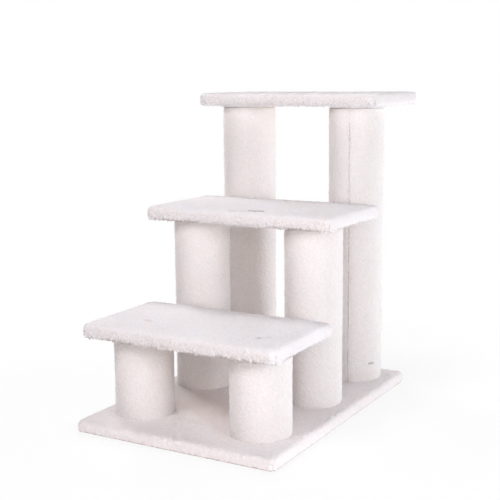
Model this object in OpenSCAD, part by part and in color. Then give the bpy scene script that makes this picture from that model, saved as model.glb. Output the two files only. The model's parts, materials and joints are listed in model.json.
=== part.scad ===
// Three-step pet stairs: fleece-wrapped boards bolted to fleece-sleeved cardboard posts.
// The front is -Y and +Z is up. The origin is on the floor, under the middle of the whole object.

/* [Steps] */
// Width of each step over its fleece
step_w = 406; // [340:1:480]
// Depth of each step over its fleece, front to back
step_d = 228; // [200:1:280]
// Height of the low tread above the floor
low_rise = 201; // [140:1:260]
// Height of the middle tread above the low tread
mid_rise = 192; // [140:1:260]
// Height of the top tread above the middle tread
top_rise = 217; // [140:1:260]

/* [Base] */
// How far the base stands out past each side of the steps
base_side_margin = 5; // [0:0.5:30]
// From the base's front edge to the low step's front edge
base_front_margin = 16; // [0:0.5:60]
// From the backs of the tall posts to the base's back edge
base_back_margin = 21.5; // [16:0.5:80]

/* [Posts] */
// Outer diameter of the cardboard tubes
tube_od = 100; // [80:0.5:120]
// Wall of the cardboard tubes
tube_wall = 4; // [2.5:0.5:6]
// From the side of a post to the side edge of its step
post_side_margin = 22.3; // [20:0.1:50]
// From the low step's front edge to the front of its posts
low_front_margin = 34.5; // [24:0.5:60]
// From the middle step's front edge to the front of its posts
mid_front_margin = 33.5; // [24:0.5:60]
// From the top step's front edge to the front of its posts
top_front_margin = 29; // [24:0.5:60]
// From the low step's back edge to the middle posts
low_back_gap = 14.5; // [0.5:0.5:40]
// From the middle step's back edge to the tall posts
mid_back_gap = 0.3; // [0.3:0.1:40]
// Radius of the sleeve's shoulder at each end of a post
shoulder_r = 4; // [2:0.5:5]

/* [Boards] */
// Thickness of every pressed-wood board
board_t = 15; // [12:0.5:20]

/* [Fleece] */
// Thickness of the fleece, pile and backing together
fleece_t = 5.5; // [4:0.5:8]
// Thickness of the fleece where a post or a tube's rim crushes it
crushed_t = 1.5; // [0.5:0.1:2.5]
// Thickness of the hem that the base stands on
base_hem_t = 1; // [0.8:0.1:2]
// Width of the hem turned under each board, from the outer edge
hem_w = 36; // [28:1:50]
// Radius of the wrapped edges
edge_r = 9.5; // [7:0.5:10]
// How much rounder a step's corner is in plan than its edge
step_corner_extra = 6.5; // [0.5:0.5:12]
// How much rounder the base's corner is in plan than its edge
base_corner_extra = 1.5; // [0.5:0.5:12]
// Length of the slit over each bolt
slit_l = 24; // [21:1:30]
// Width of the slit over each bolt
slit_w = 2; // [1:0.1:4]
// Width of the mitre cut at each corner of a hem
mitre_w = 0.8; // [0.4:0.1:2]
// Width of the butt seam along each sleeve
seam_w = 0.6; // [0.3:0.1:1.5]
// Direction that the sleeve seams face, from +X towards +Y
seam_angle = 90; // [0:1:359]
// Direction that the tall right sleeve's seam faces
tall_right_seam_angle = 279; // [0:1:359]

/* [Bolts] */
// Diameter of the bolts
bolt_d = 8; // [6:0.5:8]
// Length of the bolts under the head
bolt_l = 30; // [26:1:36]
// Diameter of the button heads
head_d = 14; // [12:0.5:15]
// Height of the button heads
head_h = 4.4; // [3.5:0.1:4.5]
// Width across the flats of the hex sockets
socket_af = 5; // [4:0.5:5]
// Depth of the hex sockets
socket_depth = 2.6; // [1.5:0.1:2.8]
// Outer diameter of the washers
washer_od = 20; // [18:0.5:22]
// Thickness of the washers
washer_t = 1.6; // [1:0.1:1.7]

/* [Insert Nuts] */
// Outer diameter of the barrel of an insert nut
nut_od = 11; // [10:0.5:13]
// Length of an insert nut over its flange
nut_l = 22; // [16:1:26]
// Diameter of the flange of an insert nut
nut_flange_d = 17; // [15:0.5:20]
// Thickness of the flange of an insert nut
nut_flange_t = 1.5; // [1:0.1:3]

/* [Plugs] */
// Thickness of the wooden plug in each end of a tube
plug_t = 30; // [28:1:45]

/* [Staples] */
// Width of a staple over its legs
staple_w = 10; // [8:0.5:12]
// Length of a staple's legs
staple_leg = 8; // [6:0.5:9]
// Width of the staple wire
wire_w = 1.2; // [0.8:0.1:1.4]
// Thickness of the staple wire
wire_t = 0.6; // [0.5:0.1:0.7]
// Spacing aimed at along the hems
staple_pitch = 80; // [60:1:120]
// From the outer edge of a cover to its row of staples
staple_inset = 15; // [13:0.5:16]
// How deep a staple sinks into the hem under a step
staple_sink = 3; // [1:0.1:3.2]
// How deep a staple sinks into the hem under the base
base_staple_sink = 0.2; // [0.1:0.1:0.2]
// How deep the staple in the tall right post sinks
post_staple_sink = 1.5; // [1.5:0.1:2]
// Height of that staple above the floor
post_staple_z = 59; // [56:1:150]
// Direction that it faces, from +X towards +Y
post_staple_angle = 333; // [0:1:359]

/* [Hidden] */
// Room round a bolt in its hole, on the radius
bolt_clear = 0.5;
// Room round a washer in its counterbore, on the radius
washer_clear = 1;
// Room between a bolt's crest and its nut, on the radius
thread_clear = 0.1;
// How far a counterbore is deeper than the washer and head in it
head_sink = 0.2;
// Glue line between a tube and what is glued in or on it
glue_t = 0.2;
// Room round a post where it sinks into a cover
post_clear = 0.3;
// Room round a staple in the pile
staple_clear = 1;
// Chamfer on the point of a bolt
bolt_chamfer = 0.8;
// Height of the straight rim of a button head
head_rim_h = 1.2;
// Overrun of every cut
cut_over = 2;
// How much of the way to the corner a mitre cut runs
mitre_share = 0.7;
// How much of a button head's radius is flat on top
head_flat_share = 0.6;
// Facets of the wrapped edges, and of the arcs in an outline
edge_fn = 32;
arc_steps = 6;
$fn = 96;

fleece = [0.95, 0.92, 0.925];
pressed_wood = [0.78, 0.66, 0.5];
kraft_paper = [0.66, 0.52, 0.38];
zinc = [0.75, 0.76, 0.78];

post_r = tube_od / 2 + glue_t + fleece_t;
tube_ir = tube_od / 2 - tube_wall;
post_x = step_w / 2 - post_side_margin - post_r;

// Runs from the base's front edge
low_post_run = base_front_margin + low_front_margin + post_r;
mid_post_run = base_front_margin + step_d + low_back_gap + post_r;
mid_step_run = mid_post_run - post_r - mid_front_margin;
tall_post_run = mid_step_run + step_d + mid_back_gap + post_r;
top_step_run = tall_post_run - post_r - top_front_margin;

base_w = step_w + 2 * base_side_margin;
base_d = tall_post_run + post_r + base_back_margin;
base_t = base_hem_t + board_t + fleece_t;
base_board_top = base_hem_t + board_t;
step_t = board_t + 2 * fleece_t;

overall_d = max(base_d, top_step_run + step_d);
front_y = -overall_d / 2;
base_y = front_y + base_d / 2;
step_y = [for (run = [base_front_margin, mid_step_run, top_step_run]) front_y + run + step_d / 2];
post_y = [for (run = [low_post_run, mid_post_run, tall_post_run]) front_y + run];
tread_z = [low_rise, low_rise + mid_rise, low_rise + mid_rise + top_rise];

// Each post runs from the crushed fleece on the base to the underside of its step's board
post_z0 = base_board_top + crushed_t;
post_z1 = [for (z = tread_z) z - fleece_t - board_t];

bore_r = bolt_d / 2 + bolt_clear;
counterbore_r = washer_od / 2 + washer_clear;
counterbore_depth = washer_t + head_h + head_sink;

STEPS = ["low", "mid", "top"];
ROWS = ["low", "mid", "tall"];
SIDES = ["left", "right"];
SIDE_SIGNS = [-1, 1];
STEP_PIECES = ["board", "cover", "staples", "bolts", "washers"];
POST_PIECES = ["tube", "cover", "top_plug", "bottom_plug", "insert_nuts"];

// Outlines

// A rectangle with round corners, about the origin
function round_rect(w, d, r) = [
    for (corner = [0 : 3])
        let (sx = corner == 0 || corner == 3 ? 1 : -1, sy = corner < 2 ? 1 : -1)
            for (i = [0 : arc_steps])
                let (a = 90 * (corner + i / arc_steps))
                    [sx * (w / 2 - r) + r * cos(a), sy * (d / 2 - r) + r * sin(a)]
];

// Points of an arc
function arc(x, y, r, from, to, steps = arc_steps) = [
    for (i = [0 : steps])
        let (a = from + (to - from) * i / steps)
            [x + r * cos(a), y + r * sin(a)]
];

// Places spread evenly along a length, about its middle
function spread(length, pitch) =
    let (n = max(2, floor(length / pitch)))
        [for (i = [0 : n - 1]) length * ((i + 0.5) / n - 0.5)];

// Fasteners

// A button-head bolt whose head rests on z = 0 and whose point hangs below
module bolt() {
    difference() {
        rotate_extrude()
            polygon(concat(
                [[0, -bolt_l], [bolt_d / 2 - bolt_chamfer, -bolt_l], [bolt_d / 2, bolt_chamfer - bolt_l]],
                [[bolt_d / 2, 0], [head_d / 2, 0], [head_d / 2, head_rim_h]],
                [[head_d / 2 * (1 + head_flat_share) / 2, head_h - head_rim_h / 2]],
                [[head_d / 2 * head_flat_share, head_h], [0, head_h]]
            ));
        translate([0, 0, head_h - socket_depth])
            cylinder(d = socket_af / cos(30), h = socket_depth + cut_over, $fn = 6);
    }
}

// A washer on z = 0
module washer() {
    difference() {
        cylinder(d = washer_od, h = washer_t);
        translate([0, 0, -cut_over]) cylinder(r = bore_r, h = washer_t + 2 * cut_over);
    }
}

// An insert nut whose flange ends at z = 0 and whose barrel hangs below
module insert_nut() {
    difference() {
        insert_nut_outside();
        translate([0, 0, -nut_l - cut_over])
            cylinder(r = bolt_d / 2 + thread_clear, h = nut_l + 2 * cut_over);
    }
}

module insert_nut_outside() {
    rotate_extrude()
        polygon([
            [0, 0], [nut_flange_d / 2, 0], [nut_flange_d / 2, -nut_flange_t],
            [nut_od / 2, -nut_flange_t], [nut_od / 2, -nut_l], [0, -nut_l]
        ]);
}

// A staple with its crown on z = 0, along X, and its legs up
module staple() {
    translate([-staple_w / 2, -wire_w / 2, 0]) cube([staple_w, wire_w, wire_t]);
    for (x = [-staple_w / 2, staple_w / 2 - wire_t])
        translate([x, -wire_w / 2, 0]) cube([wire_t, wire_w, staple_leg]);
}

// The dimple that a staple makes in the pile under its crown
module staple_dimple(sink) {
    translate([-staple_w / 2 - staple_clear, -wire_w / 2 - staple_clear, -sink - cut_over])
        cube([staple_w + 2 * staple_clear, wire_w + 2 * staple_clear, sink + cut_over + wire_t]);
}

// What stands at each staple of a hem, for a cover of this size with its underside at z = 0
module along_hem(w, d, sink) {
    for (side = [-1, 1]) {
        for (x = spread(w - 2 * hem_w, staple_pitch))
            translate([x, side * (d / 2 - staple_inset), sink]) children();
        for (y = spread(d - 2 * hem_w, staple_pitch))
            translate([side * (w / 2 - staple_inset), y, sink]) rotate([0, 0, 90]) children();
    }
}

// Boards and covers, about the origin, with the cover's underside at z = 0

// The board inside a cover
module board_blank(w, d, corner_extra, hem) {
    inset = fleece_t;
    translate([0, 0, hem])
        linear_extrude(board_t)
            polygon(round_rect(w - 2 * inset, d - 2 * inset, edge_r + corner_extra - inset));
}

// A disc with a round rim, which a cover's corner wraps
module round_puck(flat_r) {
    rotate_extrude($fn = edge_fn)
        polygon(concat([[0, -edge_r]], arc(flat_r, 0, edge_r, -90, 90, edge_fn / 2), [[0, edge_r]]));
}

// A cover's outside, round on its top edges and also below if both is true
module cover_blank(w, d, t, corner_extra, both) {
    corner_r = edge_r + corner_extra;
    hull()
        for (sx = [-1, 1]) for (sy = [-1, 1])
            translate([sx * (w / 2 - corner_r), sy * (d / 2 - corner_r), 0]) {
                for (z = both ? [edge_r, t - edge_r] : [t - edge_r])
                    translate([0, 0, z]) round_puck(corner_extra);
                if (!both) cylinder(r = corner_r, h = t - edge_r, $fn = edge_fn);
            }
}

// The window inside the hem and the mitre cuts at its corners
module hem_cuts(w, d, hem) {
    window_w = w - 2 * hem_w;
    window_d = d - 2 * hem_w;
    translate([-window_w / 2, -window_d / 2, -cut_over]) cube([window_w, window_d, hem + cut_over]);
    for (sx = [-1, 1]) for (sy = [-1, 1])
        translate([sx * window_w / 2, sy * window_d / 2, -cut_over])
            rotate([0, 0, atan2(sy, sx)])
                translate([-mitre_w, -mitre_w / 2, 0])
                    cube([mitre_w + mitre_share * sqrt(2) * (hem_w - fleece_t), mitre_w, hem + cut_over]);
}

// What stands at both posts of a row
module at_posts(row) {
    for (side = SIDE_SIGNS) translate([side * post_x, post_y[row], 0]) children();
}

// What stands at all the posts
module at_all_posts() {
    for (row = [0 : 2]) at_posts(row) children();
}

// Base

module base_staples_at() {
    translate([0, base_y, 0]) along_hem(base_w, base_d, base_staple_sink) children();
}

module base_board() {
    color(pressed_wood)
        difference() {
            translate([0, base_y, 0]) board_blank(base_w, base_d, base_corner_extra, base_hem_t);
            at_all_posts() {
                cylinder(r = bore_r, h = base_board_top + cut_over);
                cylinder(r = counterbore_r, h = base_hem_t + counterbore_depth);
            }
            base_staples_at() staple();
        }
}

module base_cover() {
    color(fleece)
        difference() {
            translate([0, base_y, 0]) cover_blank(base_w, base_d, base_t, base_corner_extra, false);
            translate([0, base_y, 0]) board_blank(base_w, base_d, base_corner_extra, base_hem_t);
            translate([0, base_y, 0]) hem_cuts(base_w, base_d, base_hem_t);
            at_all_posts() {
                cylinder(r = bore_r, h = base_t + cut_over);
                translate([0, 0, post_z0]) cylinder(r = post_r + post_clear, h = base_t);
            }
            base_staples_at() {
                staple();
                staple_dimple(base_staple_sink);
            }
        }
}

module base_staples() {
    color(zinc) base_staples_at() staple();
}

module base_bolts() {
    color(zinc)
        at_all_posts()
            translate([0, 0, base_hem_t + counterbore_depth - washer_t]) rotate([180, 0, 0]) bolt();
}

module base_washers() {
    color(zinc) at_all_posts() translate([0, 0, base_hem_t + counterbore_depth - washer_t]) washer();
}

// Steps

module step_place(i) {
    translate([0, step_y[i], tread_z[i] - step_t]) children();
}

module step_staples_at(i) {
    step_place(i) along_hem(step_w, step_d, staple_sink) children();
}

module step_board(i) {
    color(pressed_wood)
        difference() {
            step_place(i) board_blank(step_w, step_d, step_corner_extra, fleece_t);
            at_posts(i) {
                translate([0, 0, tread_z[i] - step_t]) cylinder(r = bore_r, h = step_t);
                translate([0, 0, tread_z[i] - fleece_t - counterbore_depth])
                    cylinder(r = counterbore_r, h = counterbore_depth + cut_over);
            }
            step_staples_at(i) staple();
        }
}

module step_cover(i) {
    color(fleece)
        difference() {
            step_place(i) cover_blank(step_w, step_d, step_t, step_corner_extra, true);
            step_place(i) board_blank(step_w, step_d, step_corner_extra, fleece_t);
            step_place(i) hem_cuts(step_w, step_d, fleece_t);
            at_posts(i) {
                translate([-slit_l / 2, -slit_w / 2, tread_z[i] - fleece_t - cut_over])
                    cube([slit_l, slit_w, fleece_t + 2 * cut_over]);
                translate([0, 0, tread_z[i] - step_t - cut_over])
                    cylinder(r = post_r + post_clear, h = fleece_t + cut_over);
            }
            step_staples_at(i) {
                staple();
                staple_dimple(staple_sink);
            }
        }
}

module step_staples(i) {
    color(zinc) step_staples_at(i) staple();
}

module step_bolts(i) {
    color(zinc)
        at_posts(i)
            translate([0, 0, tread_z[i] - fleece_t - counterbore_depth + washer_t]) bolt();
}

module step_washers(i) {
    color(zinc)
        at_posts(i)
            translate([0, 0, tread_z[i] - fleece_t - counterbore_depth]) washer();
}

// Posts

module post_place(i, side) {
    translate([SIDE_SIGNS[side] * post_x, post_y[i], 0]) children();
}

module post_tube(i, side) {
    color(kraft_paper)
        difference() {
            post_place(i, side)
                translate([0, 0, post_z0 + crushed_t])
                    difference() {
                        cylinder(d = tube_od, h = post_z1[i] - post_z0 - 2 * crushed_t);
                        translate([0, 0, -cut_over]) cylinder(r = tube_ir, h = post_z1[i]);
                    }
            if (i == 2 && side == 1) post_staple_at() staple();
        }
}

// The sleeve's half section: its wall, its round shoulders and the lips over the tube's rims
module sleeve_section(z0, z1) {
    polygon(concat(
        arc(post_r - shoulder_r, z0 + shoulder_r, shoulder_r, -90, 0),
        arc(post_r - shoulder_r, z1 - shoulder_r, shoulder_r, 0, 90),
        [[tube_ir, z1], [tube_ir, z1 - crushed_t], [post_r - fleece_t, z1 - crushed_t]],
        [[post_r - fleece_t, z0 + crushed_t], [tube_ir, z0 + crushed_t], [tube_ir, z0]]
    ));
}

module post_cover(i, side) {
    seam = i == 2 && side == 1 ? tall_right_seam_angle : seam_angle;
    color(fleece)
        difference() {
            post_place(i, side) rotate_extrude() sleeve_section(post_z0, post_z1[i]);
            post_place(i, side)
                rotate([0, 0, seam])
                    translate([0, -seam_w / 2, post_z0 - cut_over])
                        cube([post_r + cut_over, seam_w, post_z1[i]]);
            if (i == 2 && side == 1)
                post_staple_at() {
                    staple();
                    staple_dimple(post_staple_sink);
                }
        }
}

// A plug whose outer face is at z = 0 and which hangs below
module plug() {
    difference() {
        translate([0, 0, -plug_t]) cylinder(r = tube_ir - glue_t, h = plug_t);
        insert_nut_outside();
        translate([0, 0, -plug_t - cut_over]) cylinder(r = bore_r, h = plug_t + 2 * cut_over);
    }
}

module post_top_plug(i, side) {
    color(pressed_wood) post_place(i, side) translate([0, 0, post_z1[i]]) plug();
}

module post_bottom_plug(i, side) {
    color(pressed_wood) post_place(i, side) translate([0, 0, post_z0]) rotate([180, 0, 0]) plug();
}

module post_insert_nuts(i, side) {
    color(zinc)
        post_place(i, side) {
            translate([0, 0, post_z1[i]]) insert_nut();
            translate([0, 0, post_z0]) rotate([180, 0, 0]) insert_nut();
        }
}

// Where the staple low on the tall right post stands, its legs towards the post's axis
module post_staple_at() {
    post_place(2, 1)
        rotate([0, 0, post_staple_angle])
            translate([post_r - post_staple_sink, 0, post_staple_z])
                rotate([90, 0, -90]) children();
}

module tall_right_post_staple() {
    color(zinc) post_staple_at() staple();
}

base_board();
base_cover();
base_staples();
base_bolts();
base_washers();
for (i = [0 : 2]) {
    step_name = str(STEPS[i], "_step_");
    step_board(i);
    step_cover(i);
    step_staples(i);
    step_bolts(i);
    step_washers(i);
}
for (i = [0 : 2]) for (side = [0 : 1]) {
    post_name = str(ROWS[i], "_", SIDES[side], "_post_");
    post_tube(i, side);
    post_cover(i, side);
    post_top_plug(i, side);
    post_bottom_plug(i, side);
    post_insert_nuts(i, side);
}
tall_right_post_staple();
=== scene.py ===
"""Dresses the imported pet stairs: deep fleece on every board and post, and finishes for what it wraps."""
import json
import math

import bpy
import numpy as np
from mathutils import Matrix, Vector


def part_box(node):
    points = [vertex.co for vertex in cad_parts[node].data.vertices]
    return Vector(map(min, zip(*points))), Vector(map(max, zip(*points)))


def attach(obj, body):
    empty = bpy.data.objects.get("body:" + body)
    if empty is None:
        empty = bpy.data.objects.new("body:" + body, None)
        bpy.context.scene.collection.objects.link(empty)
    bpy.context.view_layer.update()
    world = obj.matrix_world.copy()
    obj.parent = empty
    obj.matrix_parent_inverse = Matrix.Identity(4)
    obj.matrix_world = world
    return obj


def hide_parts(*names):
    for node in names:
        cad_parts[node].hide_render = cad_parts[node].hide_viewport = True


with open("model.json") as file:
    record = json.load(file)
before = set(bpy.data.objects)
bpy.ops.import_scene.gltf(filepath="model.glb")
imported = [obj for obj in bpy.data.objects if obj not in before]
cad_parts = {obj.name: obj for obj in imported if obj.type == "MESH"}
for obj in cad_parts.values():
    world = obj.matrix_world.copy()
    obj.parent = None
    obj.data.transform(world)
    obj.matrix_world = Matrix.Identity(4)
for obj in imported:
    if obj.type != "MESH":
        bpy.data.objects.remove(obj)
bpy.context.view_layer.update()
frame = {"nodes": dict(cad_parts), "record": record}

MM = 0.001

# Sizes of the covers and boards, as in the CAD model
FLEECE_T = 5.5 * MM
CRUSHED_T = 1.5 * MM
BASE_HEM_T = 1 * MM
HEM_W = 36 * MM
EDGE_R = 9.5 * MM
BOARD_T = 15 * MM
STAPLE_PITCH = 80 * MM
STAPLE_INSET = 15 * MM
# How much rounder the corners of a step and of the base are in plan than their edges
STEP_CORNER = 6.5 * MM
BASE_CORNER = 1.5 * MM
# The lower edge of the base's cover is rounded less than its upper edge
BASE_UNDER_R = 3 * MM
# Room between a cover and the board or tube inside it
LINING_GAP = 0.15 * MM

STEPS = ["low", "mid", "top"]
ROWS = ["low", "mid", "tall"]
SIDES = ["left", "right"]

# How far apart the points of a cover lie, and where the rows on a step are closer, for its partings
STEP_PITCH = 1.55 * MM
BASE_PITCH = 1.98 * MM
POST_PITCH = {"low": 1.45 * MM, "mid": 1.45 * MM, "tall": 1.52 * MM}
FINE_PITCH = 0.95 * MM
FINE_ROWS = [
    [(-255 * MM, -222 * MM)],
    [(-94 * MM, -56 * MM), (-36 * MM, -10 * MM)],
    [],
]

# The seeds of the pile: the base's, the first step's and post's, and how far apart the next ones are
BASE_SEED = 91
STEP_SEED = 11
STEP_SEED_APART = 7
POST_SEED = 301
ROW_SEED_APART = 17
SIDE_SEED_APART = 5
# What each kind of noise adds to the seed of its piece
SEAM_SEED = 3
CURL_SEED = 30
SWELL_SEED = 60
WAVE_SEED = 70

# A point lies on a flat side where its normal's upward part, or downward part, is over this
FLAT = 0.9
# More than any distance that is compared, in metres or in tufts, and less than any real length
FAR = 9.0
TINY = 1e-9


# Noise

# Factors and shifts that mix the bits of a lattice point with those of a seed
HASH_BITS = 32
HASH_AXES = (0x8DA6B343, 0xD8163841, 0xCB1AB31F)
HASH_SEED = 0x9E3779B9
HASH_ROUNDS = ((16, 0x7FEB352D), (15, 0x846CA68B))
HASH_LAST_SHIFT = 16


def lattice_hash(i, j, k, seed):
    """A fixed number from 0 to 1 for each point of a whole-number lattice."""
    mask = 2**HASH_BITS - 1
    h = np.uint64(seed * HASH_SEED & mask)
    for axis, factor in zip((i, j, k), HASH_AXES):
        h = h ^ (np.asarray(axis, np.int64).astype(np.uint64) * np.uint64(factor))
    h = h & np.uint64(mask)
    for shift, factor in HASH_ROUNDS:
        h = ((h ^ (h >> np.uint64(shift))) * np.uint64(factor)) & np.uint64(mask)
    h = h ^ (h >> np.uint64(HASH_LAST_SHIFT))
    return h.astype(np.float64) / 2**HASH_BITS


def smooth(t):
    """A soft step from 0 to 1."""
    t = np.clip(t, 0, 1)
    return t * t * (3 - 2 * t)


def bell(distance, width):
    """A soft hump: 1 in its middle, and about a third at a width from there."""
    return np.exp(-(distance / width) ** 2)


def value_noise(p, size, seed):
    """Smooth noise from -1 to 1 whose features measure about size."""
    q = p / size
    low = np.floor(q)
    f = smooth(q - low)
    total = np.zeros(len(p))
    for step in np.ndindex(2, 2, 2):
        weight = np.where(step, f, 1 - f).T
        total += lattice_hash(*(low + step).T, seed) * (weight[0] * weight[1]) * weight[2]
    return 2 * total - 1


def tufts(p, size, seed):
    """How deep each point lies in its tuft, from 0 at its border, and three numbers of that tuft's own."""
    q = p / size
    base = np.floor(q).astype(np.int64)
    first = np.full(len(p), FAR)
    second = np.full(len(p), FAR)
    own = np.zeros((len(p), 3))
    for step in np.ndindex(3, 3, 3):
        cell = base + step - 1
        jitter = np.stack([lattice_hash(*cell.T, seed + axis) for axis in range(3)], axis=1)
        distance = np.linalg.norm(q - cell - jitter, axis=1)
        nearer = distance < first
        second = np.where(nearer, first, np.minimum(second, distance))
        own = np.where(nearer[:, None], jitter, own)
        first = np.where(nearer, distance, first)
    return second - first, own


# Meshes

def link(made):
    """Puts an object into the scene."""
    bpy.context.scene.collection.objects.link(made)


def make_mesh(name, points, quads, rims=(), pile=None):
    """A smooth-shaded mesh of quads and a few larger faces, with the pile's height kept for its material."""
    faces = [np.asarray(quads, np.int32)] + [np.asarray(r, np.int32)[None, :] for r in rims]
    corners = np.concatenate([f.ravel() for f in faces])
    sizes = np.concatenate([np.full(len(f), f.shape[1], np.int32) for f in faces])
    mesh = bpy.data.meshes.new(name)
    mesh.vertices.add(len(points))
    mesh.vertices.foreach_set("co", np.asarray(points, np.float32).ravel())
    mesh.loops.add(len(corners))
    mesh.loops.foreach_set("vertex_index", corners)
    mesh.polygons.add(len(sizes))
    starts = np.concatenate([[0], np.cumsum(sizes)[:-1]])
    mesh.polygons.foreach_set("loop_start", starts.astype(np.int32))
    mesh.update(calc_edges=True)
    mesh.validate()
    mesh.shade_smooth()
    if pile is not None:
        layer = mesh.attributes.new("pile", "FLOAT", "POINT")
        layer.data.foreach_set("value", np.asarray(pile, np.float32))
    piece = bpy.data.objects.new(name, mesh)
    link(piece)
    return piece


# How finely a length is sampled to spread places over it
GRADED_SAMPLES = 4000


def graded(low, high, pitch, fine=()):
    """Places from low to high a pitch apart, and closer where fine, a list of (from, to, pitch), says so."""
    at = np.linspace(low, high, GRADED_SAMPLES)
    density = np.full(len(at), 1 / pitch)
    for a, b, finer in fine:
        density[(at > a) & (at < b)] = 1 / finer
    total = np.concatenate([[0], np.cumsum((density[1:] + density[:-1]) / 2 * np.diff(at))])
    return np.interp(np.linspace(0, total[-1], int(round(total[-1])) + 1), total, at)


def parts(length, pitch, least=1):
    """How many parts of about a pitch a length is cut into."""
    return max(int(round(length / pitch)), least)


def quarter_turn(count):
    """The sine and cosine of each angle of a quarter turn cut into so many parts, but for its start."""
    angles = [math.pi / 2 * i / count for i in range(1, count + 1)]
    return [(math.sin(a), math.cos(a)) for a in angles]


def ring_quads(upper, lower):
    """Quads between two closed rings of as many points, given as indices."""
    return np.stack([upper, lower, np.roll(lower, -1), np.roll(upper, -1)], axis=1)


# The least number of parts of a cover's upper edge, side and lower edge, and the parts of its corners
UPPER_PARTS = 4
SIDE_PARTS = 2
LOWER_PARTS = 2
CORNER_PARTS = 6
# What is left of the corners' radius far in on the hem, where they become a mitre
MITRE_R = 0.6 * MM


class Wrap:
    """The outside of a fleece-wrapped board: a grid on top, rings over its edges and a hem turned under."""

    def __init__(self, low, high, corner, pitch, round_under, fine_y=()):
        self.middle = (low + high) / 2
        self.size = high - low
        self.low, self.corner, self.round_under, self.pitch = low, corner, round_under, pitch
        self.hem_t = FLEECE_T if round_under else BASE_HEM_T
        self.half = self.size[:2] / 2 - EDGE_R
        self.points, self.normals, self.quads = [], [], []
        self.count = 0
        self._top(self._places(self.half[0]), self._places(self.half[1], fine_y))
        self._sides()

    def _places(self, half, fine=()):
        """Places of the top's grid from -half to half, closer at the corners and where fine says so."""
        corner, finer = self.corner, self.corner / CORNER_PARTS
        ends = [(half - corner, half, finer), (-half, corner - half, finer)]
        return graded(-half, half, self.pitch, [*fine, *ends])

    def _add(self, xy, z, normal):
        """Adds points at one height with one normal, or one each, and returns their indices."""
        n = len(xy)
        self.points.append(np.column_stack([xy + self.middle[:2], np.full(n, self.low[2] + z)]))
        self.normals.append(np.broadcast_to(normal, (n, 3)))
        self.count += n
        return np.arange(self.count - n, self.count)

    def _top(self, xs, ys):
        """The grid on top and the closed loop of points round it."""
        x, y = np.meshgrid(xs, ys)
        flat = np.column_stack([x.ravel(), y.ravel()])
        # The corner squares of the grid bend into quarter discs
        inner = self.half - self.corner
        over = np.maximum(np.abs(flat) - inner, 0)
        reach = over.max(1)
        both = (over > 0).all(1)
        norm = np.where(both, np.linalg.norm(over, axis=1), 1)
        bent = inner + over * np.where(both, reach / norm, 1)[:, None]
        flat = np.where(both[:, None], np.sign(flat) * bent, flat)
        index = self._add(flat, self.size[2], (0, 0, 1)).reshape(len(ys), len(xs))
        a, b, c, d = index[:-1, :-1], index[:-1, 1:], index[1:, 1:], index[1:, :-1]
        self.quads.append(np.stack([a, b, c, d], axis=-1).reshape(-1, 4))
        self.loop = np.concatenate([index[0, :-1], index[:-1, -1], index[-1, :0:-1], index[:0:-1, 0]])
        xy = flat[self.loop]
        # Each point of the loop is on a corner's arc or on a side between two arcs
        over = np.abs(xy) - inner
        self.turn = np.where((over > -TINY).all(1)[:, None], np.maximum(over, 0) * np.sign(xy), 0)
        self.on_arc = np.linalg.norm(self.turn, axis=1) > TINY
        self.turn[self.on_arc] /= np.linalg.norm(self.turn[self.on_arc], axis=1)[:, None]
        side = np.where(np.abs(xy) > self.half - TINY, np.sign(xy), 0)
        self.side = np.where(self.on_arc[:, None], 0, side)
        self.along = np.where(self.on_arc[:, None], 0, np.where(side == 0, xy / inner, 0))
        self.sign = np.sign(xy)

    def ring(self, q):
        """The loop, q outside the top's flat part. Far inside, its corners shrink and it keeps its mitre."""
        radius = max(self.corner + q, MITRE_R)
        inner = self.half + q - radius
        arcs = self.sign * inner + radius * self.turn
        sides = self.side * (inner + radius) + self.along * inner
        return np.where(self.on_arc[:, None], arcs, sides)

    def _sides(self):
        """Rings down from the loop: the upper edge, the side, the lower edge and the hem."""
        r, t, step = EDGE_R, self.size[2], self.pitch
        under_r = r if self.round_under else BASE_UNDER_R
        # Of each ring: how far out it lies, its height, and how far its normals point outward and up
        profile = []
        for s, c in quarter_turn(parts(r * math.pi / 2, step, UPPER_PARTS)):
            profile.append((r * s, t - r + r * c, s, c))
        for z in np.linspace(t - r, under_r, parts(t - r - under_r, step, SIDE_PARTS) + 1)[1:]:
            profile.append((r, z, 1, 0))
        for s, c in quarter_turn(parts(under_r * math.pi / 2, step, LOWER_PARTS)):
            profile.append((r - under_r + under_r * c, under_r - under_r * s, c, -s))
        hem_from, self.hem_end = profile[-1][0], r - HEM_W
        for q in np.linspace(hem_from, self.hem_end, parts(hem_from - self.hem_end, step) + 1)[1:]:
            profile.append((q, 0, 0, -1))
        outward = np.where(self.on_arc[:, None], self.turn, self.side)
        previous = self.loop
        for q, z, out, up in profile:
            normal = np.column_stack([outward * out, np.full(len(outward), up)])
            ring = self._add(self.ring(q), z, normal)
            self.quads.append(ring_quads(previous, ring))
            previous = ring
        self.hem_ring = previous

    def finish(self, name, points, pile):
        """The closed cover: its displaced outside, the cut edge of its hem and its lining round the board."""
        points = [points]
        count = self.count
        previous = self.hem_ring
        hem_in = self.hem_t - LINING_GAP
        q_board = EDGE_R - FLEECE_T + LINING_GAP
        top_in = self.hem_t + BOARD_T + LINING_GAP
        for q, z in ((self.hem_end, hem_in), (q_board, hem_in), (q_board, top_in)):
            xy = self.ring(q) + self.middle[:2]
            points.append(np.column_stack([xy, np.full(len(xy), self.low[2] + z)]))
            ring = np.arange(count, count + len(xy))
            self.quads.append(ring_quads(previous, ring))
            count += len(xy)
            previous = ring
        pile = np.concatenate([pile, np.zeros(count - len(pile))])
        quads = np.concatenate(self.quads)
        return make_mesh(name, np.concatenate(points), quads, [previous[::-1]], pile)


# Pile

# The size of a tuft and of the curls on it
TUFT = 4.8 * MM
CURL = 2.1 * MM
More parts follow.
